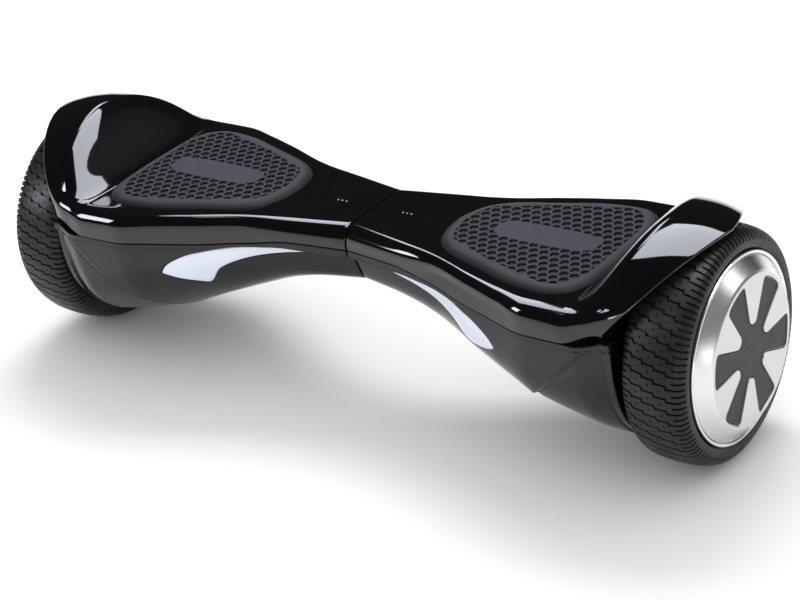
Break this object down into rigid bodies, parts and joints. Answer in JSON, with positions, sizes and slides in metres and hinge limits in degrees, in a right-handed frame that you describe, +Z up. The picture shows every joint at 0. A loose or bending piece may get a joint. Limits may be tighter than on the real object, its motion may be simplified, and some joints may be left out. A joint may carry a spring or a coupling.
{
  "type": "self balancing hoverboard",
  "caption": "Two foot decks joined by a centre twist pivot, each with a fender, lamp lens, rubber foot mat and hub-motor wheel.",
  "frame": {"origin": "on the ground under the middle of the board, between the two wheels", "axes": "+X along the wheel axis to the half with the power button, -Y to the front where the lamps are, +Z up"},
  "size_m": [0.6, 0.179, 0.178],
  "materials": {
    "cover_top": "piano black gloss",
    "cover_bottom": "black gloss, a little duller",
    "mat_rubber": "matte charcoal, moulded",
    "tyre": "black tread rubber",
    "rim_polished": "turned and polished",
    "hub_satin": "satin silver with a polished bevel",
    "insert_dark": "dark grey matte",
    "lens": "milky translucent",
    "steel": "machined",
    "casting": "as cast",
    "board": "green solder mask",
    "winding": "enamelled copper wire",
    "black_plastic": "matte black",
    "bush": "bronze",
    "battery": "blue shrink wrap",
    "cap_rubber": "matte black"
  },
  "bodies": {
    "left_half": {"axle_clamp_left": "casting", "axle_left": "steel", "battery_pack": "battery", "bottom_cover_left": "cover_bottom", "charge_socket": "steel", "clamp_screw_front_left": "steel", "clamp_screw_rear_left": "steel", "cover_screw_left": "steel", "frame_left": "casting", "gyro_board_left": "board", "indicator_pipe_left": "lens", "lamp_board_left": "board", "lamp_lens_left": "lens", "limit_pin": "steel", "pivot_collar": "steel", "pivot_shaft": "steel", "stator_core_left": "steel", "top_cover_left": "cover_top", "windings_left": "winding", "wire_harness": "black_plastic"},
    "right_half": {"axle_clamp_right": "casting", "axle_right": "steel", "bottom_cover_right": "cover_bottom", "clamp_screw_front_right": "steel", "clamp_screw_rear_right": "steel", "cover_screw_right": "steel", "frame_right": "casting", "gyro_board_right": "board", "heat_sink": "casting", "indicator_pipe_right": "lens", "lamp_board_right": "board", "lamp_lens_right": "lens", "main_board": "board", "pivot_bush_inner": "bush", "pivot_bush_outer": "bush", "power_switch": "black_plastic", "stator_core_right": "steel", "top_cover_right": "cover_top", "windings_right": "winding"},
    "left_wheel": {"bearing_inner_left": "steel", "bearing_outer_left": "steel", "hub_cap_left": "hub_satin", "hub_insert_left": "insert_dark", "magnet_ring_left": "steel", "motor_cover_left": "casting", "rotor_rim_left": "rim_polished", "tyre_left": "tyre"},
    "right_wheel": {"bearing_inner_right": "steel", "bearing_outer_right": "steel", "hub_cap_right": "hub_satin", "hub_insert_right": "insert_dark", "magnet_ring_right": "steel", "motor_cover_right": "casting", "rotor_rim_right": "rim_polished", "tyre_right": "tyre"},
    "left_mat": {"foot_mat_left": "mat_rubber"},
    "right_mat": {"foot_mat_right": "mat_rubber"},
    "power_button": {"power_button": "black_plastic"},
    "port_cap": {"port_cap": "cap_rubber"}
  },
  "joints": [
    {"name": "centre_twist", "type": "hinge", "parent": "left_half", "child": "right_half", "pos_m": [0, 0, 0.104], "axis": [1, 0, 0], "range_deg": [-10, 10]},
    {"name": "left_wheel_spin", "type": "hinge", "parent": "left_half", "child": "left_wheel", "pos_m": [-0.268, 0, 0.0825], "axis": [1, 0, 0], "continuous": true},
    {"name": "right_wheel_spin", "type": "hinge", "parent": "right_half", "child": "right_wheel", "pos_m": [0.268, 0, 0.0825], "axis": [1, 0, 0], "continuous": true},
    {"name": "left_mat_press", "type": "slide", "parent": "left_half", "child": "left_mat", "axis": [0, 0, -1], "range_m": [0, 0.0012]},
    {"name": "right_mat_press", "type": "slide", "parent": "right_half", "child": "right_mat", "axis": [0, 0, -1], "range_m": [0, 0.0012]},
    {"name": "power_button_press", "type": "slide", "parent": "right_half", "child": "power_button", "axis": [0, -1, 0], "range_m": [0, 0.0012]},
    {"name": "port_cap_flap", "type": "hinge", "parent": "left_half", "child": "port_cap", "pos_m": [-0.198, 0.089, 0.0812], "axis": [-1, 0, 0], "range_deg": [0, 110]}
  ]
}
